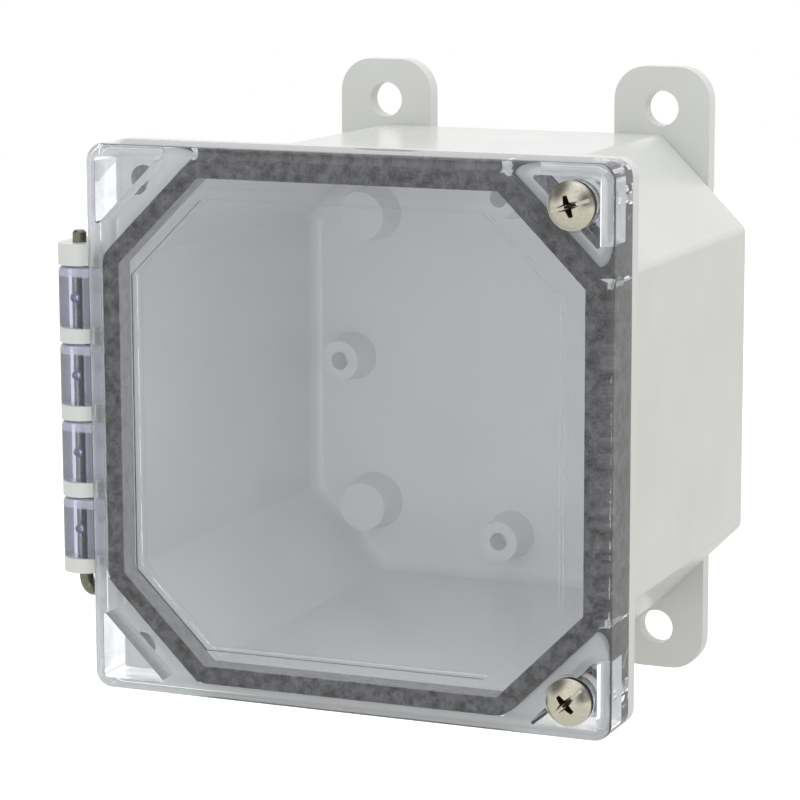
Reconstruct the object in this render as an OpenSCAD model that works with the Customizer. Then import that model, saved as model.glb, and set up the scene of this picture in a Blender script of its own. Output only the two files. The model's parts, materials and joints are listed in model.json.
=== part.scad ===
// Hinged enclosure: a moulded box with a clear cover, both octagonal inside.
// X runs to the right, Z up, and depth is counted from the wall at Y = 0 towards the viewer at -Y.
// The origin is the centre of the four wall-foot holes, on the wall.

/* [Box] */
// Width and height of the box across its flats, at the back
box_size = 115.6; // [108:0.2:124]
// Length that each 45 degree corner takes off a side
corner_leg = 21.5; // [19:0.5:23]
// Depth of the box from its back face to the rear of the flange
box_depth = 92.7; // [60:0.1:110]
// Draft of the outside of the box, in degrees
draft_angle = 0.25; // [0.1:0.05:0.8]
// Draft of the inside of the box, in degrees
core_draft = 0.75; // [0.5:0.05:1]
// Thickness of the side walls, at the back
wall = 4.05; // [3.6:0.05:4.6]
// Thickness of the back
back_wall = 5; // [3.5:0.1:7]
// Radius of the upright edges of the box
arris_r = 2.5; // [1:0.1:4]
// Radius round the rear edge of the box
rear_edge_r = 2; // [0.6:0.1:3]
// Radius of the moulded corner round the inside of the back
floor_fillet = 3; // [1:0.1:4]

/* [Wall feet] */
// Thickness of the feet
foot_t = 4.5; // [4.2:0.1:7]
// Width of each foot
foot_w = 24; // [20:0.5:28]
// Distance of each foot's centre line in from the side of the box
foot_inset = 21.8; // [18:0.2:26]
// Distance of each foot hole out from the top or bottom of the box
foot_hole_reach = 6.2; // [5.6:0.2:12]
// Diameter of the foot holes
foot_hole_d = 8.5; // [6:0.1:10]
// Material from the hole's centre to the end of the foot
foot_end = 10; // [8:0.25:13]
// Radius of the corners of a foot
foot_corner_r = 8; // [4:0.5:9.5]
// How far the back of the box stands off the wall
standoff = 4; // [2:0.1:4]
// How far each foot runs on under the back of the box
foot_root = 20.8; // [18:0.2:28]

/* [Panel bosses] */
// Height of the bosses above the inside of the back
boss_h = 9; // [6:0.25:14]
// Distance of each bored boss from the centre
bored_boss_reach = 42.4; // [38:0.2:44]
// Diameter of the top of a bored boss
bored_boss_d = 9.8; // [8:0.1:12]
// Diameter of the screw hole in a bored boss
boss_hole_d = 4.5; // [3:0.1:5.5]
// Depth of that hole
boss_hole_depth = 8; // [5:0.25:11]
// Distance of each plain boss from the centre, sideways and up
plain_boss_reach = 36.5; // [33:0.2:38]
// Diameter of the top of a plain boss
plain_boss_d = 12; // [9:0.1:13]
// How much wider the foot of every boss is than its top
boss_flare = 2.4; // [0.4:0.1:3.6]
// Diameter of the shallow dished recess in the middle of the back
disc_d = 22; // [12:0.5:30]
// Depth of that recess at its centre
disc_depth = 0.6; // [0.2:0.1:1]

/* [Flange] */
// Thickness of the flange
flange_t = 3.6; // [3:0.1:5]
// How far the flange stands out past the box wall
flange_reach = 3.55; // [3:0.05:5]
// Radius of the flange and cover corners
flange_corner_r = 4; // [3:0.25:7]
// Height of the sealing tongue round the opening
tongue_h = 2.6; // [1.5:0.1:3.2]
// Width of the sealing tongue
tongue_w = 1.8; // [1.2:0.1:2]
// Distance of the tongue in from the gasket's outer edge
tongue_inset = 1.25; // [1.25:0.05:1.5]

/* [Cover] */
// Depth of the cover from its rear edge to its face
cover_depth = 12.6; // [11.8:0.1:14]
// Gap between flange and cover, which the gasket holds
cover_gap = 0.3; // [0.2:0.05:0.8]
// Thickness of the cover's face
face_t = 4.7; // [3.6:0.1:5.4]
// Thickness of the outer walls of the corner pockets
pocket_wall = 2.75; // [2:0.05:3.5]
// Material between gasket groove and corner pocket
groove_wall = 4.9; // [3.5:0.1:6]
// Thickness of the floor of the corner pockets
pocket_floor = 2.5; // [1.5:0.1:3.5]
// Radius round the front edge of the cover
face_edge_r = 2; // [0.8:0.1:2.4]
// Depth of the window step, on both sides of the face
window_step = 0.6; // [0.3:0.1:1]
// Distance from the gasket's outer edge in to the window step
window_margin = 8.45; // [7.5:0.05:12]

/* [Gasket] */
// Width of the gasket
gasket_w = 4; // [3.6:0.05:5]
// How far the gasket stands out past the box wall
gasket_overhang = 0.55; // [0.3:0.05:0.8]
// Clearance round the gasket in its groove
gasket_fit = 0.05; // [0.05:0.01:0.15]

/* [Hinge] */
// Diameter of the hinge pin
pin_d = 3.2; // [2.4:0.1:4]
// Clearance between pin and bore, on the radius
pin_fit = 0.05; // [0.02:0.01:0.08]
// Outer radius of the knuckles
knuckle_r = 4.9; // [3.8:0.05:5.1]
// Clearance beside and between the knuckles
knuckle_gap = 0.3; // [0.3:0.05:0.5]
// Height of the hinge axis above the front of the flange
axis_rise = 5.7; // [5.4:0.1:6.4]
// Number of clear knuckles on the cover
knuckle_count = 4; // [2:1:5]
// Length of each clear knuckle
clear_knuckle = 13.65; // [9:0.05:14]
// Distance from one clear knuckle to the next
knuckle_pitch = 17.55; // [16:0.05:18.5]
// How far the row of knuckles sits above the middle of the box
hinge_shift = 0.5; // [-2:0.1:2]
// Length of the topmost box knuckle
top_knuckle = 4.9; // [3:0.1:6]
// Length of the lowest box knuckle
low_knuckle = 3.3; // [2:0.1:6]
// How far the pin stands up out of the topmost knuckle
pin_top = 2.7; // [1:0.1:5]
// Radius of the bend at the pin's lower end
pin_bend_r = 4.6; // [2.6:0.1:6]
// Length of the bent leg behind the bend
pin_leg = 6; // [2:0.1:9]

/* [Cover screws] */
// Distance of each screw in from the edges of the cover
screw_inset = 8.75; // [8.6:0.05:9.5]
// Diameter of the screw head
head_d = 10.5; // [8:0.1:11]
// Height of the screw head
head_h = 2.5; // [1.8:0.1:3.2]
// Width of the driver slot and of the arms of the cross
slot_w = 1.3; // [0.8:0.1:1.6]
// Depth of the driver slot
slot_depth = 1.7; // [0.8:0.1:1.8]
// Span of the driver cross
cross_span = 5.4; // [4:0.1:6]
// Depth of the driver cross
cross_depth = 2.6; // [1.8:0.1:3]
// Diameter of the thread, over its crests
thread_d = 4.83; // [4:0.01:4.9]
// Length of the threaded end
thread_len = 5; // [3:0.1:5.2]
// Travel of the captive screw when it is backed right out
screw_travel = 7.93; // [6:0.01:8]
// Diameter of the plain neck between head and thread
neck_d = 3.9; // [3:0.1:4]
// Clearance of the neck in its retainer and of the retainer in its bore, on the radius
retainer_fit = 0.05; // [0.02:0.01:0.08]
// Outer diameter of the retainer
retainer_d = 7.7; // [6.6:0.1:8]
// Length of the retainer
retainer_len = 3; // [1.5:0.1:3.2]
// Diameter of the post that carries the screw head
post_d = 10.4; // [9.6:0.1:10.8]
// How far the post's top lies below the cover's face
post_drop = 0.6; // [0.5:0.1:1.2]
// Thickness of the sealing washer under the screw head
seal_t = 1.8; // [1:0.1:2]
// Outer diameter of the sealing washer
seal_d = 10.2; // [8:0.1:10.8]
// Outer diameter of the threaded insert in the flange
insert_d = 6.35; // [5.8:0.05:6.6]
// Length of the threaded insert
insert_len = 7.5; // [5:0.1:8]
// Diameter of the moulded boss round the insert
insert_boss_d = 10.4; // [9:0.1:11]

/* [Hidden] */
$fn = 64;
hull_fn = 32;       // facets of the round arrises inside a hull
sliver = 0.1;       // thickness of the sheets that a hull joins
over = 1;           // how far a cutter runs past the face it cuts
edge_steps = 3;     // sheets that make up a rounded edge

// Depths, all counted from the wall
box_back = standoff;
box_inside = box_back + back_wall;
flange_back = box_back + box_depth;
flange_front = flange_back + flange_t;
tongue_top = flange_front + tongue_h;
cover_back = flange_front + cover_gap;
cover_front = cover_back + cover_depth;
face_inside = cover_front - face_t;
post_top = cover_front - post_drop;
axis_depth = flange_front + axis_rise;

// Half sizes across the flats and across the corners
front_growth = box_depth * tan(draft_angle);
back_half = box_size / 2;
back_diag = (2 * back_half - corner_leg) / sqrt(2);
front_half = back_half + front_growth;
front_diag = back_diag + front_growth;
flange_half = front_half + flange_reach;
gasket_half = front_half + gasket_overhang;
gasket_diag = front_diag + gasket_overhang;
pocket_half = flange_half - pocket_wall;
pocket_diag = gasket_diag + gasket_fit + groove_wall;

// Hinge
axis_x = -(flange_half + knuckle_gap + knuckle_r);
knuckle_span = knuckle_pitch * (knuckle_count - 1) + clear_knuckle;
first_knuckle = hinge_shift - knuckle_span / 2;
hinge_top = first_knuckle + knuckle_span + knuckle_gap + top_knuckle;
hinge_bottom = first_knuckle - knuckle_gap - low_knuckle;
box_knuckle = knuckle_pitch - clear_knuckle - 2 * knuckle_gap;

// Screws
screw_at = flange_half - screw_inset;
insert_top = flange_front - 0.9;
insert_bottom = insert_top - insert_len;
retainer_front = post_top - 3.4;
retainer_back = retainer_front - retainer_len;
thread_top = retainer_back - screw_travel - 0.16;
screw_tip = thread_top - thread_len;
head_seat = post_top + seal_t;
insert_hole_end = min(insert_bottom, screw_tip) - 0.6;
insert_boss_back = insert_hole_end - 1.6;
spot_r = head_d / 2 + 0.45;

// ---- Shared shapes -------------------------------------------------------

// Corners of an octagon from its half width and the distance to its 45 degree sides
function octagon_points(half, diag) =
    let (c = diag * sqrt(2) - half)
    [[c, half], [half, c], [half, -c], [c, -half],
     [-c, -half], [-half, -c], [-half, c], [-c, half]];

module octagon(half, diag) {
    polygon(octagon_points(half, diag));
}

// Square with round corners
module round_square(half, r) {
    square([2 * half, 2 * (half - r)], center = true);
    square([2 * (half - r), 2 * half], center = true);
    for (sx = [-1, 1], sz = [-1, 1])
        translate([sx * (half - r), sz * (half - r)]) circle(r);
}

// Extrudes an outline drawn in X and Z from one depth to another
module forward(d0, d1) {
    translate([0, -d0, 0]) rotate([90, 0, 0]) linear_extrude(height = d1 - d0) children();
}

// Round bar along the depth
module rod(x, z, d0, d1, r, r_end = undef) {
    translate([x, -d0, z]) rotate([90, 0, 0])
        cylinder(h = d1 - d0, r1 = r, r2 = is_undef(r_end) ? r : r_end);
}

// Thin octagonal sheet with round arrises, for the hulls of the box
module octagon_sheet(depth, half, diag, r) {
    for (p = octagon_points(half - r, diag - r))
        rod(p[0], p[1], depth, depth + sliver, r, $fn = hull_fn);
}

// Thin square sheet with round corners, for the hull of the cover
module square_sheet(depth, half, r) {
    for (sx = [-1, 1], sz = [-1, 1])
        rod(sx * (half - r), sz * (half - r), depth, depth + sliver, r, $fn = hull_fn);
}

// Places its children at the two screws on the right: 1 is the upper, -1 the lower
module at_screw(side) {
    translate([screw_at, 0, side * screw_at]) children();
}

// ---- Box -----------------------------------------------------------------

// Tapered solid octagon, its rear edge rounded over r
module box_form(d0, d1, half, diag, arris, r, draft) {
    grow = tan(draft);
    hull() {
        for (i = [0:edge_steps]) {
            a = 90 * i / edge_steps;
            depth = d0 + r - r * cos(a);
            in = r - r * sin(a) - grow * (depth - d0);
            octagon_sheet(depth, half - in, diag - in, arris);
        }
        far = grow * (d1 - d0);
        octagon_sheet(d1 - sliver, half + far, diag + far, arris);
    }
}

module foot(sx, sz) {
    x = sx * (back_half - foot_inset);
    hole_z = sz * (back_half + foot_hole_reach);
    end_z = back_half + foot_hole_reach + foot_end;
    root_z = back_half - foot_root;
    span = end_z - root_z;
    difference() {
        translate([x, 0]) translate([0, sz * (root_z + span / 2)]) {
            square([foot_w, span - 2 * foot_corner_r], center = true);
            square([foot_w - 2 * foot_corner_r, span], center = true);
            for (cx = [-1, 1], cz = [-1, 1])
                translate([cx * (foot_w / 2 - foot_corner_r), cz * (span / 2 - foot_corner_r)])
                    circle(foot_corner_r);
        }
        translate([x, hole_z]) circle(foot_hole_d / 2);
    }
}

// Flared boss on the inside of the back, with a screw hole where hole_r is given
module panel_boss(x, z, top_d) {
    rod(x, z, box_inside - over, box_inside + boss_h, (top_d + boss_flare) / 2, top_d / 2);
}

// The box's own knuckle: a round head on a straight-sided arm
module box_knuckle_arm(z0, z1) {
    translate([axis_x, 0, z0]) linear_extrude(height = z1 - z0) {
        translate([0, -axis_depth]) circle(knuckle_r);
        translate([-knuckle_r, -axis_depth]) square([2 * knuckle_r, axis_depth - flange_back]);
    }
}

module hinge_bracket() {
    bracket_x = axis_x - knuckle_r;
    translate([bracket_x, -flange_front, hinge_bottom])
        cube([-flange_half + flange_corner_r - bracket_x, flange_t, hinge_top - hinge_bottom]);
    box_knuckle_arm(hinge_top - top_knuckle, hinge_top);
    box_knuckle_arm(hinge_bottom, hinge_bottom + low_knuckle);
    for (i = [1:knuckle_count - 1]) {
        z = first_knuckle + i * knuckle_pitch - knuckle_gap - box_knuckle;
        box_knuckle_arm(z, z + box_knuckle);
    }
}

// Boss behind a flange corner, with the web that ties it to the box
module insert_boss(sx, sz) {
    rod(sx * screw_at, sz * screw_at, insert_boss_back, flange_back + over, insert_boss_d / 2);
    web_t = 3;
    translate([sx * screw_at, -flange_back - over, sz * screw_at])
        rotate([0, sx * sz > 0 ? -45 : 45, 0])
            translate([sx > 0 ? -insert_boss_d : 0, 0, -web_t / 2])
                cube([insert_boss_d, flange_back + over - insert_boss_back, web_t]);
}

// Raised lip on the flange that the gasket closes on
module tongue() {
    outer = tongue_inset;
    inner = outer + tongue_w;
    difference() {
        forward(flange_front - over, tongue_top) octagon(gasket_half - outer, gasket_diag - outer);
        forward(flange_front - 2 * over, tongue_top + over)
            octagon(gasket_half - inner, gasket_diag - inner);
    }
}

// Shallow dish in the middle of the back, cut by a large ball
module center_dish() {
    ball_r = (pow(disc_d / 2, 2) + pow(disc_depth, 2)) / (2 * disc_depth);
    intersection() {
        translate([0, -(box_inside - disc_depth + ball_r), 0]) sphere(ball_r);
        rod(0, 0, box_inside - over, box_inside + over, disc_d / 2 + over);
    }
}

module enclosure_box() {
    color([0.80, 0.81, 0.78]) difference() {
        union() {
            box_form(box_back, flange_back + over, back_half, back_diag, arris_r, rear_edge_r,
                     draft_angle);
            for (sx = [-1, 1], sz = [-1, 1]) {
                forward(0, foot_t) foot(sx, sz);
                insert_boss(sx, sz);
            }
            forward(flange_back, flange_front) round_square(flange_half, flange_corner_r);
            tongue();
            hinge_bracket();
        }
        difference() {
            box_form(box_inside, flange_front + sliver, back_half - wall, back_diag - wall,
                     arris_r, floor_fillet, core_draft);
            for (a = [0:90:270])
                panel_boss(bored_boss_reach * cos(a), bored_boss_reach * sin(a), bored_boss_d);
            for (sx = [-1, 1], sz = [-1, 1])
                panel_boss(sx * plain_boss_reach, sz * plain_boss_reach, plain_boss_d);
        }
        for (a = [0:90:270])
            rod(bored_boss_reach * cos(a), bored_boss_reach * sin(a),
                box_inside + boss_h - boss_hole_depth, box_inside + boss_h + over, boss_hole_d / 2);
        center_dish();
        for (sx = [-1, 1], sz = [-1, 1])
            rod(sx * screw_at, sz * screw_at, insert_hole_end, flange_front + over, insert_d / 2);
        translate([axis_x, -axis_depth, hinge_bottom - over])
            cylinder(h = hinge_top - hinge_bottom + 2 * over, r = pin_d / 2 + pin_fit);
    }
}

// ---- Cover ---------------------------------------------------------------

// Block of the cover, its front edge rounded
module cover_form() {
    forward(cover_back, cover_front - face_edge_r) round_square(flange_half, flange_corner_r);
    hull() {
        square_sheet(cover_front - face_edge_r - sliver, flange_half, flange_corner_r);
        for (i = [1:edge_steps]) {
            a = 90 * i / edge_steps;
            in = face_edge_r - face_edge_r * cos(a);
            depth = cover_front - face_edge_r + face_edge_r * sin(a) - sliver;
            square_sheet(depth, flange_half - in, flange_corner_r - in);
        }
    }
}

// Three-cornered pocket in front of a flange corner
module corner_pocket(sx, sz) {
    r = 0.5;
    reach = pocket_half - r;
    low = (pocket_diag + r) * sqrt(2) - reach;
    hull()
        for (p = [[reach, reach], [reach, low], [low, reach]])
            rod(sx * p[0], sz * p[1], cover_back + pocket_floor, cover_front + over, r, $fn = hull_fn);
}

module clear_knuckles() {
    for (i = [0:knuckle_count - 1])
        translate([0, 0, first_knuckle + i * knuckle_pitch]) linear_extrude(height = clear_knuckle) {
            translate([axis_x, -axis_depth]) circle(knuckle_r);
            translate([axis_x, -axis_depth - knuckle_r])
                square([-flange_half + over - axis_x, 2 * knuckle_r]);
        }
}

module clear_cover() {
    color([0.75, 0.80, 0.88, 0.4]) difference() {
        union() {
            difference() {
                cover_form();
                forward(cover_back - over, face_inside)
                    octagon(gasket_half + gasket_fit, gasket_diag + gasket_fit);
                for (sx = [-1, 1], sz = [-1, 1]) corner_pocket(sx, sz);
            }
            for (side = [-1, 1])
                at_screw(side) rod(0, 0, cover_back + pocket_floor / 2, cover_front - 0.3, post_d / 2);
            clear_knuckles();
        }
        forward(cover_front - window_step, cover_front + over)
            octagon(gasket_half - window_margin, gasket_diag - window_margin);
        forward(face_inside - over, face_inside + window_step)
            octagon(gasket_half - window_margin, gasket_diag - window_margin);
        for (side = [-1, 1])
            at_screw(side) {
                rod(0, 0, post_top, cover_front + over, spot_r);
                rod(0, 0, cover_back - over, cover_front, thread_d / 2 + 0.15);
                rod(0, 0, cover_back - over, retainer_front, retainer_d / 2 + retainer_fit);
            }
        translate([axis_x, -axis_depth, first_knuckle - over])
            cylinder(h = knuckle_span + 2 * over, r = pin_d / 2 + pin_fit);
    }
}

// ---- Gasket --------------------------------------------------------------

module cover_gasket() {
    color([0.28, 0.28, 0.29]) difference() {
        forward(tongue_top, face_inside) octagon(gasket_half, gasket_diag);
        forward(tongue_top - over, face_inside + over)
            octagon(gasket_half - gasket_w, gasket_diag - gasket_w);
    }
}

// ---- Hinge pin -----------------------------------------------------------

// Straight rod whose lower end is bent back towards the wall
module hinge_pin() {
    r = pin_d / 2;
    bend_z = hinge_bottom - 0.8;
    tip_z = hinge_top + pin_top;
    color([0.55, 0.55, 0.48]) translate([axis_x, -axis_depth, 0]) {
        translate([0, 0, bend_z]) cylinder(h = tip_z - 0.5 - bend_z, r = r);
        translate([0, 0, tip_z - 0.5]) cylinder(h = 0.5, r1 = r, r2 = r - 0.5);
        translate([0, pin_bend_r, bend_z]) rotate([90, 0, 90]) rotate([0, 0, 180])
            rotate_extrude(angle = 90) translate([pin_bend_r, 0]) circle(r);
        translate([0, pin_bend_r, bend_z - pin_bend_r]) rotate([-90, 0, 0])
            cylinder(h = pin_leg, r = r);
    }
}

// ---- Cover screws, their retainers and inserts ---------------------------

// Captive truss-head screw with a slot and a cross
module cover_screw(turn) {
    dome_r = (pow(head_d / 2, 2) + pow(head_h, 2)) / (2 * head_h);
    color([0.78, 0.76, 0.68]) difference() {
        translate([0, -screw_tip, 0]) rotate([90, 0, 0]) {
            cylinder(h = thread_len, r = thread_d / 2);
            cylinder(h = head_seat - screw_tip + over / 2, r = neck_d / 2);
            translate([0, 0, head_seat - screw_tip]) intersection() {
                translate([0, 0, head_h - dome_r]) sphere(dome_r);
                cylinder(h = head_h, r = head_d / 2);
            }
        }
        translate([0, -head_seat - head_h, 0]) rotate([0, -turn, 0]) {
            slot = min(slot_depth, head_h - 0.7);
            cube([head_d + over, 2 * slot, slot_w], center = true);
            intersection() {
                union() {
                    cube([cross_span, 2 * cross_depth, slot_w], center = true);
                    cube([slot_w, 2 * cross_depth, cross_span], center = true);
                }
                rotate([-90, 0, 0]) cylinder(h = cross_depth, r1 = cross_span / 2, r2 = 0.7);
            }
        }
    }
}

module screw_seal() {
    color([0.06, 0.06, 0.06]) difference() {
        rod(0, 0, post_top, head_seat, seal_d / 2);
        rod(0, 0, post_top - over, head_seat + over, neck_d / 2);
    }
}

module screw_retainer() {
    color([0.12, 0.12, 0.12]) difference() {
        rod(0, 0, retainer_back, retainer_front, retainer_d / 2);
        rod(0, 0, retainer_back - over, retainer_front + over, neck_d / 2 + retainer_fit);
    }
}

module threaded_insert() {
    color([0.80, 0.66, 0.36]) difference() {
        rod(0, 0, insert_bottom, insert_top, insert_d / 2);
        rod(0, 0, insert_bottom - over, insert_top + over, thread_d / 2 + 0.03);
    }
}

enclosure_box();
clear_cover();
cover_gasket();
hinge_pin();
at_screw(1) cover_screw(18);  // upper_cover_screw
at_screw(-1) cover_screw(45);  // lower_cover_screw
at_screw(1) screw_seal();  // upper_screw_seal
at_screw(-1) screw_seal();  // lower_screw_seal
at_screw(1) screw_retainer();  // upper_screw_retainer
at_screw(-1) screw_retainer();  // lower_screw_retainer
at_screw(1) threaded_insert();  // upper_threaded_insert
at_screw(-1) threaded_insert();  // lower_threaded_insert
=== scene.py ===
import json
import math

import bmesh
import bpy
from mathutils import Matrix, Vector


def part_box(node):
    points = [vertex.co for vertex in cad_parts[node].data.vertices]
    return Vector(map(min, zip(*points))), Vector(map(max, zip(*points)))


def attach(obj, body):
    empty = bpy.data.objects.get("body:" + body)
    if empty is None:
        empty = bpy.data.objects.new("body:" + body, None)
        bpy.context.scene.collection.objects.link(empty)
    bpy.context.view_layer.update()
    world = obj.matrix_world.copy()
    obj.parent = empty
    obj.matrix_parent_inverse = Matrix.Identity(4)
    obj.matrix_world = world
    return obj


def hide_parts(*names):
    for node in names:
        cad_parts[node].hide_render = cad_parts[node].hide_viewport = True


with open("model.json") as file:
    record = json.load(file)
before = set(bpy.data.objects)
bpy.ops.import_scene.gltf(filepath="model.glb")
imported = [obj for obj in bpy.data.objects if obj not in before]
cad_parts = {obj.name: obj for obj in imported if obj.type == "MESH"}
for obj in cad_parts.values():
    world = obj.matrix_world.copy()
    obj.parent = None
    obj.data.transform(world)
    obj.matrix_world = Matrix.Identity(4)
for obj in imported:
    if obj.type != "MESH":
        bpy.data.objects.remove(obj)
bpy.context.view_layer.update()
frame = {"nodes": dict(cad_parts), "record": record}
mm = 0.001
bodyOf = {node: body for body, members in frame["record"]["behaviour"]["bodies"].items()
          for node in members}


def srgb(hexColour):
    # sRGB hex to the linear values that sockets hold
    parts = [int(hexColour[i:i + 2], 16) / 255 for i in (0, 2, 4)]
    return tuple(c / 12.92 if c <= 0.04045 else ((c + 0.055) / 1.055) ** 2.4 for c in parts) + (1.0,)


def addNode(tree, kind, settings=None, **links):
    # one node, its settings, and what feeds its sockets; spaces in socket names are written as _
    node = tree.nodes.new(kind)
    for name, value in (settings or {}).items():
        setattr(node, name, value)
    for name, value in links.items():
        key = int(name[1:]) if name[0] == "n" and name[1:].isdigit() else name.replace("_", " ")
        socket = node.inputs[key]
        if isinstance(value, bpy.types.NodeSocket):
            tree.links.new(value, socket)
        else:
            socket.default_value = value
    return node


def calculate(tree, operation, *values):
    # result of one math node; each value is a number or another node's output
    return addNode(tree, "ShaderNodeMath", {"operation": operation},
                   **{f"n{i}": value for i, value in enumerate(values)}).outputs[0]


def newMaterial(name):
    material = bpy.data.materials.new(name)
    material.use_nodes = True
    tree = material.node_tree
    tree.nodes.clear()
    shader = addNode(tree, "ShaderNodeBsdfPrincipled")
    output = addNode(tree, "ShaderNodeOutputMaterial", Surface=shader.outputs[0])
    place = addNode(tree, "ShaderNodeTexCoord").outputs["Object"]
    return material, tree, shader, output, place


def grain(tree, place, size, detail=2.0, roughness=0.5):
    # noise whose lumps are about `size` metres across
    return addNode(tree, "ShaderNodeTexNoise", Vector=place, Scale=1 / size, Detail=detail,
                   Roughness=roughness).outputs[0]


def ramp(tree, factor, low, high, fromLow, fromHigh):
    # a value that goes from fromLow to fromHigh as factor goes from low to high
    return addNode(tree, "ShaderNodeMapRange", n0=factor, n1=low, n2=high, n3=fromLow, n4=fromHigh).outputs[0]


def stretch(tree, noise, fromLow, fromHigh):
    # noise mostly lies between 0.3 and 0.7, and is stretched to fill this range
    return ramp(tree, noise, 0.3, 0.7, fromLow, fromHigh)


def stepAt(tree, value, edge, soft, below, above):
    # one value below the edge and another above it, blended over `soft` on each side
    return ramp(tree, value, edge - soft, edge + soft, below, above)


def blendColours(tree, factor, first, second):
    return addNode(tree, "ShaderNodeMix", {"data_type": "RGBA"}, n0=factor, n6=srgb(first),
                   n7=srgb(second)).outputs[2]


def addBump(tree, shader, strength, distance, height):
    bump = addNode(tree, "ShaderNodeBump", Strength=strength, Distance=distance, Height=height)
    tree.links.new(bump.outputs[0], shader.inputs["Normal"])


def setShader(shader, **values):
    for name, value in values.items():
        shader.inputs[name.replace("_", " ")].default_value = value


# Opaque moulded polycarbonate: glossy from a polished tool, with the faint waviness of a thick moulding
greyMoulding = {"colour": "D0D2CF", "shade": "CACBC8", "cloud": 30 * mm, "glossy": 0.16, "dull": 0.25,
                "grain": 0.6 * mm, "ior": 1.585, "waviness": 12 * mm, "wave": 0.03 * mm, "bump": 0.6}


def makeGreyMoulding():
    look = greyMoulding
    material, tree, shader, output, place = newMaterial("mouldedGreyPolycarbonate")
    cloud = stretch(tree, grain(tree, place, look["cloud"]), 0, 1)
    tree.links.new(blendColours(tree, cloud, look["colour"], look["shade"]), shader.inputs["Base Color"])
    gloss = stretch(tree, grain(tree, place, look["grain"], 3), look["glossy"], look["dull"])
    tree.links.new(gloss, shader.inputs["Roughness"])
    addBump(tree, shader, look["bump"], look["wave"], grain(tree, place, look["waviness"], 1))
    setShader(shader, IOR=look["ior"])
    return material


# Clear moulded polycarbonate: refracts strongly; the underside of the window is a little milky from its tool,
# and the thick knuckles look lavender
clearMoulding = {"tint": "F3F4F8", "thick": "D6D8EE", "thickBeyond": -62 * mm, "thickSoft": 0.4 * mm,
                 "roughness": 0.0, "ior": 1.585, "shadowTint": "F9FAFC", "clarity": 0.985, "milky": 0.84,
                 "milkyFrom": 108.3 * mm, "milkyTo": 109.3 * mm, "milkyWithin": 56 * mm,
                 "waviness": 14 * mm, "wave": 0.01 * mm, "bump": 0.25,
                 "knuckleTop": 33.65 * mm, "knucklePitch": 17.55 * mm, "groundEnd": 2.2 * mm,
                 "endSoft": 0.2 * mm, "groundSide": -70.7 * mm, "sideSoft": 0.3 * mm, "groundMilk": 2.6}


def makeClearMoulding():
    look = clearMoulding
    material, tree, shader, output, place = newMaterial("clearPolycarbonate")
    parts = addNode(tree, "ShaderNodeSeparateXYZ", Vector=place).outputs
    thick = stepAt(tree, parts["X"], look["thickBeyond"], look["thickSoft"], 1, 0)
    tree.links.new(blendColours(tree, thick, look["tint"], look["thick"]), shader.inputs["Base Color"])
    # 1 on the underside of the window, 0 elsewhere
    inside = calculate(tree, "COMPARE", parts["Y"], -(look["milkyFrom"] + look["milkyTo"]) / 2,
                       (look["milkyTo"] - look["milkyFrom"]) / 2)
    for axis in "XZ":
        near = calculate(tree, "COMPARE", parts[axis], 0.0, look["milkyWithin"])
        inside = calculate(tree, "MULTIPLY", inside, near)
    cloud = grain(tree, place, look["waviness"], 2)
    milk = calculate(tree, "MULTIPLY", inside, stretch(tree, cloud, 0.9, 1.1))
    # the upper end and outer side of each knuckle are ground where the mould parts
    fromTop = calculate(tree, "WRAP", parts["Z"], look["knuckleTop"], look["knuckleTop"] - look["knucklePitch"])
    end = stepAt(tree, fromTop, look["knuckleTop"] - look["groundEnd"], look["endSoft"], 0, 1)
    side = stepAt(tree, parts["X"], look["groundSide"], look["sideSoft"], 1, 0)
    ground = calculate(tree, "MULTIPLY", calculate(tree, "MAXIMUM", end, side), thick)
    milk = calculate(tree, "MULTIPLY_ADD", ground, look["groundMilk"], milk)
    clarity = calculate(tree, "MULTIPLY_ADD", milk, look["milky"] - look["clarity"], look["clarity"])
    tree.links.new(clarity, shader.inputs["Transmission Weight"])
    addBump(tree, shader, look["bump"], look["wave"], cloud)
    setShader(shader, Roughness=look["roughness"], IOR=look["ior"])
    # light falls through the cover into the box instead of stopping at it
    path = addNode(tree, "ShaderNodeLightPath").outputs
    through = calculate(tree, "MAXIMUM", path["Is Shadow Ray"], path["Is Diffuse Ray"])
    clear = addNode(tree, "ShaderNodeBsdfTransparent", Color=srgb(look["shadowTint"]))
    mix = addNode(tree, "ShaderNodeMixShader", n0=through, n1=shader.outputs[0], n2=clear.outputs[0])
    tree.links.new(mix.outputs[0], output.inputs["Surface"])
    return material


# Closed-cell foam strip: dull and dark, blotched where the cover presses it, with fine pores
gasketFoam = {"colour": "0E0E0F", "bloom": "6A6A6E", "bloomFrom": 0.55, "bloomTo": 1.0, "pore": 0.5 * mm,
              "poreShare": 0.45, "cloud": 2.4 * mm, "bump": 0.5, "relief": 0.08 * mm, "roughness": 0.85,
              "ior": 1.5}


def makeGasketFoam():
    look = gasketFoam
    material, tree, shader, output, place = newMaterial("closedCellFoam")
    cloud = grain(tree, place, look["cloud"], 5, 0.65)
    pores = grain(tree, place, look["pore"], 2, 0.7)
    blotches = calculate(tree, "MULTIPLY_ADD", pores, look["poreShare"], cloud)
    bloom = ramp(tree, blotches, look["bloomFrom"], look["bloomTo"], 0, 1)
    tree.links.new(blendColours(tree, bloom, look["colour"], look["bloom"]), shader.inputs["Base Color"])
    addBump(tree, shader, look["bump"], look["relief"], blotches)
    setShader(shader, Roughness=look["roughness"], IOR=look["ior"])
    return material


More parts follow.
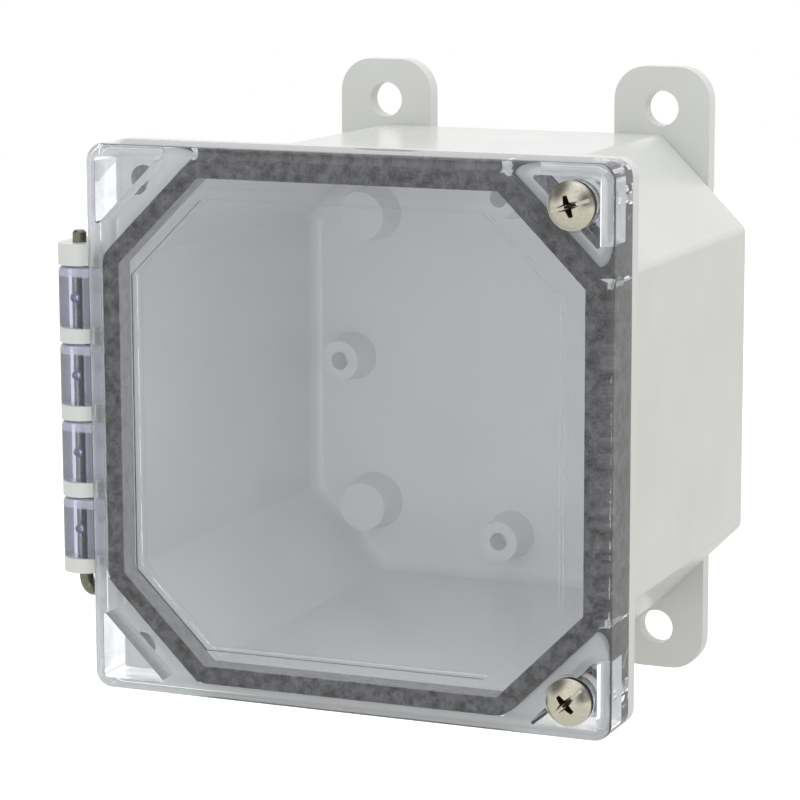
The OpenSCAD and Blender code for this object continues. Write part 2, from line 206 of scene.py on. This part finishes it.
def makePlain(name, colour, shade, roughness, metallic=0.0):
    # one finish with a fine mottle in colour and gloss
    mottle = {"size": 0.4 * mm, "gloss": 0.15, "ior": 1.5}
    material, tree, shader, output, place = newMaterial(name)
    fine = grain(tree, place, mottle["size"], 3)
    tree.links.new(blendColours(tree, stretch(tree, fine, 0, 1), colour, shade), shader.inputs["Base Color"])
    gloss = stretch(tree, fine, roughness * (1 - mottle["gloss"]), roughness * (1 + mottle["gloss"]))
    tree.links.new(gloss, shader.inputs["Roughness"])
    setShader(shader, Metallic=metallic, IOR=mottle["ior"])
    return material


greyPolycarbonate = makeGreyMoulding()
clearPolycarbonate = makeClearMoulding()
closedCellFoam = makeGasketFoam()
drawnSteel = makePlain("drawnSteelWire", "8C8C78", "75766A", 0.3, 1.0)          # plain wire, slightly olive
nickelPlate = makePlain("nickelPlatedSteel", "D9D5C6", "C6C2B2", 0.24, 1.0)      # warm bright plating
blackRubber = makePlain("blackRubber", "141414", "1C1C1C", 0.6)                  # dull seal under the head
naturalNylon = makePlain("naturalNylon", "D8D6CC", "CBC8BC", 0.45)               # milky retainer
turnedBrass = makePlain("turnedBrass", "C9A45C", "B58E48", 0.28, 1.0)            # machined insert
crossShade = makePlain("crossRecessPaintedShade", "2A1E17", "3A2C22", 0.5, 0.6)             # painted shade: dark brown standing for the shadow at the bottom of the cross
print("materials made")

meshLook = {"weld": 0.002 * mm, "flatBelow": math.radians(0.3), "sharpAbove": math.radians(36)}


def mergedCopy(node):
    # bmesh of a CAD node with its split vertices joined and its flat faces made whole
    mesh = bmesh.new()
    mesh.from_mesh(frame["nodes"][node].data)
    bmesh.ops.remove_doubles(mesh, verts=mesh.verts, dist=meshLook["weld"])
    bmesh.ops.dissolve_limit(mesh, angle_limit=meshLook["flatBelow"], verts=mesh.verts, edges=mesh.edges)
    return mesh


def edgeAngle(edge):
    return edge.calc_face_angle(0) if len(edge.link_faces) == 2 else 0


def finishPiece(mesh, name, material):
    # bmesh to an object whose sharp edges stay sharp
    bmesh.ops.triangulate(mesh, faces=[f for f in mesh.faces if len(f.verts) > 4])
    for e in mesh.edges:
        e.smooth = edgeAngle(e) < meshLook["sharpAbove"]
    for f in mesh.faces:
        f.smooth = True
    data = bpy.data.meshes.new(name)
    mesh.to_mesh(data)
    mesh.free()
    piece = bpy.data.objects.new(name, data)
    bpy.context.scene.collection.objects.link(piece)
    data.materials.append(material)
    # large flat faces keep their own normals, and only the small radii turn from one to the next
    weighted = piece.modifiers.new("flats", "WEIGHTED_NORMAL")
    weighted.weight = 100
    weighted.keep_sharp = True
    piece.data = bpy.data.meshes.new_from_object(piece.evaluated_get(bpy.context.evaluated_depsgraph_get()))
    piece.data.name = name
    piece.modifiers.remove(weighted)
    return piece


def roundEdges(mesh, width, segments, chosen):
    edges = [e for e in mesh.edges if edgeAngle(e) > meshLook["sharpAbove"] and chosen(middle(e))]
    bmesh.ops.bevel(mesh, geom=edges, offset=width, offset_type="OFFSET", segments=segments, profile=0.5,
                    affect="EDGES", clamp_overlap=True)


def middle(edge):
    return (edge.verts[0].co + edge.verts[1].co) / 2


def standsFor(mesh, node, material):
    piece = finishPiece(mesh, node + "_look", material)
    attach(piece, bodyOf[node])
    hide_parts(node)
    return piece


def around(count):
    # this many angles, evenly round a turn
    return [2 * math.pi * k / count for k in range(count)]


def closedSkin(mesh, rows):
    # quads between rings of vertices, and one face over each end
    for near, far in zip(rows, rows[1:]):
        for k in range(len(near)):
            n = (k + 1) % len(near)
            mesh.faces.new((near[k], near[n], far[n], far[k]))
    mesh.faces.new(rows[0])
    mesh.faces.new(rows[-1])


# Box: feet rounded more than the rest, small radii on every other edge
boxLook = {"footRadius": 0.9 * mm, "radius": 0.35 * mm, "footFront": 5 * mm, "footBeyond": 57 * mm}


def onFoot(point):
    return -point.y < boxLook["footFront"] and abs(point.z) > boxLook["footBeyond"]


mesh = mergedCopy("enclosure_box")
roundEdges(mesh, boxLook["footRadius"], 3, onFoot)
roundEdges(mesh, boxLook["radius"], 2, lambda point: not onFoot(point))
standsFor(mesh, "enclosure_box", greyPolycarbonate)

# Cover: knuckles with a wide rounded upper end, small radii on every edge off the knuckles
coverLook = {"radius": 0.3 * mm, "knuckleEdge": 1.1 * mm, "knuckleBeyond": -62.5 * mm,
             "knuckleRadius": 4.9 * mm, "knuckleLength": 13.65 * mm, "pinDepth": 106 * mm, "boreKept": 3 * mm}
mesh = mergedCopy("clear_cover")
pinX = (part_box("hinge_pin")[0].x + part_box("hinge_pin")[1].x) / 2
upperEnds = sorted({round(f.calc_center_median().z, 5) for f in mesh.faces
                    if f.normal.z > 0.99 and f.calc_center_median().x < coverLook["knuckleBeyond"]})


def onKnuckleEnd(point):
    # edge of a knuckle's upper end, but not of its bore
    fromPin = math.hypot(point.x - pinX, point.y + coverLook["pinDepth"])
    return (point.x < coverLook["knuckleBeyond"] and fromPin > coverLook["boreKept"]
            and any(abs(end - point.z) < 0.01 * mm for end in upperEnds))


roundEdges(mesh, coverLook["knuckleEdge"], 2, onKnuckleEnd)
roundEdges(mesh, coverLook["radius"], 2, lambda point: point.x > coverLook["knuckleBeyond"])
standsFor(mesh, "clear_cover", clearPolycarbonate)

# Gasket: foam poured into the cover, so it wets the clear wall and the window
gasketLook = {"width": 4 * mm, "wets": 0.15 * mm, "bend": 2.6 * mm, "edge": 0.42 * mm, "step": 0.7 * mm,
              "unevenness": 0.16 * mm, "lump": 1.1 * mm, "lip": 1.15 * mm, "lipEdge": 0.3 * mm,
              "lipSunk": 1 * mm, "lipEnd": -100.45 * mm}


def octagonCentre(low, high, half, diagonal, inset):
    # corners of an octagon that lies `inset` inside the one with these distances to its flat and slanted sides
    flat, slant = half - inset, (diagonal - inset) * math.sqrt(2)
    near, middleX, middleZ = slant - flat, (low.x + high.x) / 2, (low.z + high.z) / 2
    return [(middleX + x, z + middleZ) for x, z in [
        (flat, near), (near, flat), (-near, flat), (-flat, near),
        (-flat, -near), (-near, -flat), (near, -flat), (flat, -near)]]


def stripTree():
    # sweeps a rounded strip along the object's own loop of edges, with an uneven surface
    tree = bpy.data.node_groups.new("foamStrip", "GeometryNodeTree")
    inputs = {"Loop": "Geometry", "Strip width": "Float", "Strip depth": "Float", "Bend radius": "Float",
              "Edge radius": "Float", "Step": "Float", "Unevenness": "Float", "Lump size": "Float",
              "Material": "Material"}
    for name, kind in inputs.items():
        tree.interface.new_socket(name, in_out="INPUT", socket_type="NodeSocket" + kind)
    tree.interface.new_socket("Strip", in_out="OUTPUT", socket_type="NodeSocketGeometry")
    given = addNode(tree, "NodeGroupInput").outputs
    loop = addNode(tree, "GeometryNodeMeshToCurve", n0=given["Loop"]).outputs[0]
    loop = addNode(tree, "GeometryNodeFilletCurve", {"mode": "POLY"}, Curve=loop, Count=6,
                   Radius=given["Bend radius"]).outputs[0]
    loop = addNode(tree, "GeometryNodeResampleCurve", {"mode": "LENGTH"}, Curve=loop,
                   Length=given["Step"]).outputs[0]
    loop = addNode(tree, "GeometryNodeSetCurveNormal", {"mode": "FREE"}, Curve=loop,
                   Normal=(0.0, -1.0, 0.0)).outputs[0]
    profile = addNode(tree, "GeometryNodeCurvePrimitiveQuadrilateral", Width=given["Strip depth"],
                      Height=given["Strip width"]).outputs[0]
    profile = addNode(tree, "GeometryNodeFilletCurve", {"mode": "POLY"}, Curve=profile, Count=4,
                      Radius=given["Edge radius"]).outputs[0]
    strip = addNode(tree, "GeometryNodeCurveToMesh", Curve=loop, Profile_Curve=profile).outputs[0]
    noise = addNode(tree, "ShaderNodeTexNoise", Scale=calculate(tree, "DIVIDE", 1.0, given["Lump size"]),
                    Detail=3.0).outputs[0]
    lift = calculate(tree, "MULTIPLY", calculate(tree, "SUBTRACT", noise, 0.5), given["Unevenness"])
    normal = addNode(tree, "GeometryNodeInputNormal").outputs[0]
    offset = addNode(tree, "ShaderNodeVectorMath", {"operation": "SCALE"}, Vector=normal,
                     Scale=lift).outputs[0]
    strip = addNode(tree, "GeometryNodeSetPosition", Geometry=strip, Offset=offset).outputs[0]
    strip = addNode(tree, "GeometryNodeRealizeInstances", Geometry=strip).outputs[0]
    strip = addNode(tree, "GeometryNodeSetMaterial", Geometry=strip, Material=given["Material"]).outputs[0]
    addNode(tree, "NodeGroupOutput", n0=strip)
    return tree


def grown(name, points, tree, values):
    # mesh that a node tree makes from a closed loop of points
    loop = bpy.data.meshes.new(name + "Loop")
    loop.from_pydata(points, [(i, (i + 1) % len(points)) for i in range(len(points))], [])
    piece = bpy.data.objects.new(name, loop)
    bpy.context.scene.collection.objects.link(piece)
    nodes = piece.modifiers.new("made", "NODES")
    nodes.node_group = tree
    for item in tree.interface.items_tree:
        if item.in_out == "INPUT" and item.name in values:
            nodes[item.identifier] = values[item.name]
    piece.data = bpy.data.meshes.new_from_object(piece.evaluated_get(bpy.context.evaluated_depsgraph_get()))
    piece.data.name = name
    piece.modifiers.remove(nodes)
    return piece


def gasketRing(name, width, front, back, edge):
    # ring of foam of this width against the outer wall of the groove
    low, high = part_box("cover_gasket")
    slanted = max(v.co.x + v.co.z for v in frame["nodes"]["cover_gasket"].data.vertices) / math.sqrt(2)
    corners = octagonCentre(low, high, (high.x - low.x) / 2, slanted, width / 2 - gasketLook["wets"] / 2)
    ring = grown(name, [(x, (front + back) / 2, z) for x, z in corners], foamStrip, {
        "Strip width": width + gasketLook["wets"], "Strip depth": back - front,
        "Bend radius": gasketLook["bend"], "Edge radius": edge, "Step": gasketLook["step"],
        "Unevenness": gasketLook["unevenness"], "Lump size": gasketLook["lump"],
        "Material": closedCellFoam})
    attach(ring, bodyOf["cover_gasket"])
    return ring


foamStrip = stripTree()
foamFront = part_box("cover_gasket")[0].y - gasketLook["wets"]
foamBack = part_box("cover_gasket")[1].y
ring = gasketRing("cover_gasket_look", gasketLook["width"], foamFront, foamBack, gasketLook["edge"])
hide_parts("cover_gasket")
# the cover presses its outer lip down beside the tongue
lip = gasketRing("cover_gasket_lip", gasketLook["lip"], foamBack - gasketLook["lipSunk"], gasketLook["lipEnd"],
                 gasketLook["lipEdge"])
print("gasket made")


# Cover screws: domed head with a narrow slot and a tapered cross, plain neck, real thread at the tip.
# The thread's form is clipped between root and crest; its run-out at both ends is a share of the pitch.
screwLook = {"headRadius": 5.25 * mm, "headHeight": 2.5 * mm, "headRings": 24, "rim": 0.12 * mm,
             "undercut": 0.05 * mm, "neck": 1.95 * mm, "pitch": 0.79375 * mm, "crest": 2.4 * mm,
             "threadLength": 5 * mm, "runOut": 0.8, "threadPeak": 1.35, "flank": 3, "around": 64,
             "perTurn": 10, "slotWidth": 0.75 * mm, "slotReach": 6 * mm, "slotDepth": 1.7 * mm,
             "crossReach": 2.75 * mm, "crossArm": 1.5 * mm, "crossNarrow": 0.72, "crossDepth": 2.1 * mm,
             "crossTaper": 0.38, "slotStart": 1 * mm, "crossStart": 0.05 * mm,
             # margins below the dome and beside the slot, where the painted shade of the cross begins
             "shadeBelow": 0.1 * mm, "shadeBeside": 0.02 * mm,
             "turn": {"upper_cover_screw": math.radians(18), "lower_cover_screw": math.radians(45)}}


def domeDepth(radius):
    # how far behind the top of the head its dome lies, at this distance from the axis
    headRadius, headHeight = screwLook["headRadius"], screwLook["headHeight"]
    sphere = (headRadius ** 2 + headHeight ** 2) / (2 * headHeight)
    return sphere - math.sqrt(max(0, sphere ** 2 - radius ** 2))


def headRings():
    # distance behind the top of the head, and the radius there, from the dome to the neck
    headRadius, headHeight, count = screwLook["headRadius"], screwLook["headHeight"], screwLook["headRings"]
    radii = [headRadius * i / count for i in range(1, count)]
    return [(domeDepth(radius), radius) for radius in radii] + [
        (headHeight - screwLook["rim"], headRadius),
        (headHeight, headRadius - screwLook["undercut"]),
        (headHeight, screwLook["neck"])]


def turned(mesh, axis, top, length):
    # the whole screw as rings, from the middle of the head to the tip
    neck, pitch, threadLength = screwLook["neck"], screwLook["pitch"], screwLook["threadLength"]
    rings = [(depth, lambda turn, r=radius: r) for depth, radius in headRings()]
    count = int(threadLength / pitch * screwLook["perTurn"])
    for i in range(count + 1):
        along = threadLength * i / count
        fade = min(1, along / (screwLook["runOut"] * pitch),
                   (threadLength - along) / (screwLook["runOut"] * pitch))

        def radiusAt(turn, along=along, fade=fade):
            phase = (along / pitch + turn / (2 * math.pi)) % 1
            ridge = max(0, min(1, screwLook["threadPeak"] - abs(phase - 0.5) * screwLook["flank"])) * fade
            return neck + (screwLook["crest"] - neck) * ridge
        rings.append((length - threadLength + along, radiusAt))
    rows = [[mesh.verts.new((axis.x + radiusAt(turn) * math.cos(turn), top + depth,
                             axis.z + radiusAt(turn) * math.sin(turn)))
             for turn in around(screwLook["around"])] for depth, radiusAt in rings]
    closedSkin(mesh, rows)
    bmesh.ops.recalc_face_normals(mesh, faces=mesh.faces)


def prism(name, outline, axis, front, back, taper, turn):
    # tapered tool with this outline, turned about the screw's axis
    mesh = bmesh.new()
    ends = [[mesh.verts.new((axis.x + scale * (x * math.cos(turn) - z * math.sin(turn)), depth,
                             axis.z + scale * (x * math.sin(turn) + z * math.cos(turn))))
             for x, z in outline] for depth, scale in ((front, 1.0), (back, taper))]
    closedSkin(mesh, ends)
    bmesh.ops.recalc_face_normals(mesh, faces=mesh.faces)
    data = bpy.data.meshes.new(name)
    mesh.to_mesh(data)
    mesh.free()
    return bpy.data.objects.new(name, data)


def cut(mesh, tools):
    # takes the tools away from the mesh
    data = bpy.data.meshes.new("blank")
    mesh.to_mesh(data)
    blank = bpy.data.objects.new("blank", data)
    for thing in [blank] + tools:
        bpy.context.scene.collection.objects.link(thing)
    for tool in tools:
        modifier = blank.modifiers.new(tool.name, "BOOLEAN")
        modifier.operation = "DIFFERENCE"
        modifier.solver = "EXACT"
        modifier.object = tool
    result = bpy.data.meshes.new_from_object(blank.evaluated_get(bpy.context.evaluated_depsgraph_get()))
    mesh.clear()
    mesh.from_mesh(result)
    for thing in [blank] + tools:
        bpy.data.objects.remove(thing)


halfArm, halfSlot = screwLook["crossArm"] / 2, screwLook["slotWidth"] / 2
crossOutline = []
for c, s in [(1, 0), (0, 1), (-1, 0), (0, -1)]:
    crossOutline += [(x * c - z * s, x * s + z * c) for x, z in
                     [(halfArm, -halfArm), (screwLook["crossReach"], -screwLook["crossNarrow"] * halfArm),
                      (screwLook["crossReach"], screwLook["crossNarrow"] * halfArm)]]
slotOutline = [(x * screwLook["slotReach"], z * halfSlot) for x, z in [(-1, -1), (1, -1), (1, 1), (-1, 1)]]
for node, turn in screwLook["turn"].items():
    low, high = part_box(node)
    axis = (low + high) / 2
    mesh = bmesh.new()
    turned(mesh, axis, low.y, high.y - low.y)
    cut(mesh, [prism("slotTool", slotOutline, axis, low.y - screwLook["slotStart"],
                     low.y + screwLook["slotDepth"], 1, turn),
               prism("crossTool", crossOutline, axis, low.y - screwLook["crossStart"],
                     low.y + screwLook["crossDepth"], screwLook["crossTaper"], turn)])
    piece = standsFor(mesh, node, nickelPlate)
    piece.data.materials.append(crossShade)
    # the faces of the cross get painted shade, dark for the shadow in the recess; those of the slot stay bright
    for face in piece.data.polygons:
        aside, up, depth = face.center.x - axis.x, face.center.z - axis.z, face.center.y - low.y
        fromAxis, offSlot = math.hypot(aside, up), abs(up * math.cos(turn) - aside * math.sin(turn))
        inSlot = (offSlot < halfSlot + screwLook["shadeBeside"]
                  and depth < screwLook["slotDepth"] + screwLook["shadeBeside"])
        inHead = domeDepth(fromAxis) + screwLook["shadeBelow"] < depth < screwLook["headHeight"]
        if fromAxis < screwLook["crossReach"] and inHead and not inSlot:
            face.material_index = 1
print("screws made")

# Gate marks: a small round mark on the front of each clear knuckle
gateMark = {"radius": 1.15 * mm, "height": 0.5 * mm, "sunk": 0.1 * mm, "root": 0.3 * mm,
            "azimuth": math.radians(14), "around": 24, "rings": 5}
mesh = bmesh.new()
outward = Vector((math.sin(gateMark["azimuth"]), -math.cos(gateMark["azimuth"]), 0))
across, up = Vector((-outward.y, outward.x, 0)), Vector((0, 0, 1))
for top in upperEnds:
    centre = Vector((pinX, -coverLook["pinDepth"], top - coverLook["knuckleLength"] / 2))
    centre += outward * coverLook["knuckleRadius"]
    rows = []
    for i in range(1, gateMark["rings"] + 1):
        share = i / gateMark["rings"]
        lift = gateMark["height"] * (math.cos(share * math.pi) + 1) / 2 - gateMark["sunk"]
        rows.append([mesh.verts.new(centre + outward * lift + across * gateMark["radius"] * share * math.cos(t)
                                    + up * gateMark["radius"] * share * math.sin(t))
                     for t in around(gateMark["around"])])
    rows.append([mesh.verts.new(v.co - outward * gateMark["root"]) for v in rows[-1]])
    closedSkin(mesh, rows)
bmesh.ops.recalc_face_normals(mesh, faces=mesh.faces)
marks = finishPiece(mesh, "knuckle_gate_marks", clearPolycarbonate)
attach(marks, bodyOf["clear_cover"])
print("gate marks made")

for node, material in [
    ("enclosure_box", greyPolycarbonate),
    ("clear_cover", clearPolycarbonate),
    ("cover_gasket", closedCellFoam),
    ("hinge_pin", drawnSteel),
    ("upper_cover_screw", nickelPlate),
    ("lower_cover_screw", nickelPlate),
    ("upper_screw_seal", blackRubber),
    ("lower_screw_seal", blackRubber),
    ("upper_screw_retainer", naturalNylon),
    ("lower_screw_retainer", naturalNylon),
    ("upper_threaded_insert", turnedBrass),
    ("lower_threaded_insert", turnedBrass),
]:
    holder = frame["nodes"][node]
    holder.data.materials.clear()
    holder.data.materials.append(material)
print("pieces made")

# Camera: to the right of the front and a little above
view = {"target": (0.0, -43.2 * mm, 0.0), "azimuth": 21.98, "elevation": 9.90, "distance": 742 * mm,
        "lens": 141.26, "shift": (-0.0776, -0.0161), "sensor": 36, "nearest": 0.01}
azimuth, elevation = math.radians(view["azimuth"]), math.radians(view["elevation"])
towards = Vector((math.sin(azimuth) * math.cos(elevation), -math.cos(azimuth) * math.cos(elevation),
                  math.sin(elevation)))
cameraData = bpy.data.cameras.new("camera")
cameraData.lens = view["lens"]
cameraData.sensor_width = view["sensor"]
cameraData.shift_x, cameraData.shift_y = view["shift"]
cameraData.clip_start = view["nearest"]
camera = bpy.data.objects.new("camera", cameraData)
camera.location = Vector(view["target"]) + towards * view["distance"]
camera.rotation_euler = towards.to_track_quat("Z", "Y").to_euler()
bpy.context.scene.collection.objects.link(camera)
bpy.context.scene.camera = camera

# Light: mostly the white room itself, with weak soft boxes overhead, on the right and in front
lights = {
    "right": {"from": (0.9, -0.25, 0.0), "size": (0.9, 0.9), "watts": 0.6, "mirrored": True},
    "top": {"from": (0.1, 0.1, 0.9), "size": (0.9, 0.9), "watts": 1.0, "mirrored": True},
    "front": {"from": (0.1, -1.1, -0.1), "size": (0.6, 0.6), "watts": 1.7, "mirrored": False},
}
for name, light in lights.items():
    data = bpy.data.lights.new(name, "AREA")
    data.shape = "RECTANGLE"
    data.size, data.size_y = light["size"]
    data.energy = light["watts"]
    lamp = bpy.data.objects.new(name, data)
    lamp.location = Vector(light["from"])
    lamp.visible_glossy = light["mirrored"]
    aim = Vector(light["from"]) - Vector(view["target"])
    lamp.rotation_euler = aim.to_track_quat("Z", "Y").to_euler()
    bpy.context.scene.collection.objects.link(lamp)

# White studio: the camera, and what shows through the cover, see plain white; mirrors also see two dark cards
studio = {"seen": "FFFFFF", "below": "DEDECB", "belowFrom": -0.25, "belowTo": -0.6,
          "light": "F5F5F5", "fromBelow": 0.9, "fromAbove": 1.25, "lightSpan": 0.6,
          "cards": [(-0.80, -0.15, 0.58), (0.80, -0.55, 0.25)], "cardFrom": 0.75, "cardTo": 0.96,
          "cardDark": 0.16, "mirror": 1.0}
world = bpy.data.worlds.new("studio")
world.use_nodes = True
bpy.context.scene.world = world
tree = world.node_tree
tree.nodes.clear()
path = addNode(tree, "ShaderNodeLightPath").outputs
direction = addNode(tree, "ShaderNodeTexCoord").outputs["Generated"]
height = addNode(tree, "ShaderNodeSeparateXYZ", Vector=direction).outputs["Z"]
nearness = [addNode(tree, "ShaderNodeVectorMath", {"operation": "DOT_PRODUCT"}, n0=direction,
                    n1=card).outputs["Value"] for card in studio["cards"]]
cards = ramp(tree, calculate(tree, "MAXIMUM", *nearness), studio["cardFrom"], studio["cardTo"],
             studio["mirror"], studio["cardDark"])
brightness = ramp(tree, height, -studio["lightSpan"], studio["lightSpan"], studio["fromBelow"],
                  studio["fromAbove"])
lit = addNode(tree, "ShaderNodeBackground", Color=srgb(studio["light"]), Strength=brightness)
mirror = addNode(tree, "ShaderNodeBackground", Color=srgb(studio["seen"]), Strength=cards)
low = ramp(tree, height, studio["belowFrom"], studio["belowTo"], 0, 1)
white = addNode(tree, "ShaderNodeBackground", Color=blendColours(tree, low, studio["seen"], studio["below"]),
                Strength=1.0)
unseen = addNode(tree, "ShaderNodeMixShader", n0=path["Is Glossy Ray"], n1=lit.outputs[0], n2=mirror.outputs[0])
seen = calculate(tree, "MAXIMUM", path["Is Camera Ray"], path["Is Transmission Ray"])
room = addNode(tree, "ShaderNodeMixShader", n0=seen, n1=unseen.outputs[0], n2=white.outputs[0])
addNode(tree, "ShaderNodeOutputWorld", Surface=room.outputs[0])

# Pale floor well below the box, which hangs on its wall feet; it glows for the camera and through the cover,
# as long as the light hasn't met a dull surface, and weakly in mirrors
floorLook = {"height": -0.3, "half": 3.0, "colour": "C4C4C0", "roughness": 0.9, "light": "FFFFFF", "glow": 0.75,
             "mirrored": 0.2, "direct": 0.5}
mesh = bpy.data.meshes.new("floor")
half = floorLook["half"]
mesh.from_pydata([(-half, -half, 0), (half, -half, 0), (half, half, 0), (-half, half, 0)], [],
                 [(0, 1, 2, 3)])
floor = bpy.data.objects.new("floor", mesh)
floor.location.z = floorLook["height"]
bpy.context.scene.collection.objects.link(floor)
material, tree, shader, output, place = newMaterial("paleFloor")
path = addNode(tree, "ShaderNodeLightPath").outputs
direct = calculate(tree, "LESS_THAN", path["Diffuse Depth"], floorLook["direct"])
through = calculate(tree, "MULTIPLY", path["Is Transmission Ray"], direct)
mirrored = calculate(tree, "MULTIPLY", path["Is Glossy Ray"], floorLook["mirrored"])
seen = calculate(tree, "MAXIMUM", calculate(tree, "MAXIMUM", path["Is Camera Ray"], through), mirrored)
tree.links.new(calculate(tree, "MULTIPLY", seen, floorLook["glow"]), shader.inputs["Emission Strength"])
setShader(shader, Base_Color=srgb(floorLook["colour"]), Roughness=floorLook["roughness"],
          Emission_Color=srgb(floorLook["light"]))
mesh.materials.append(material)

bpy.context.scene.view_settings.view_transform = "Standard"
print("camera and light set")
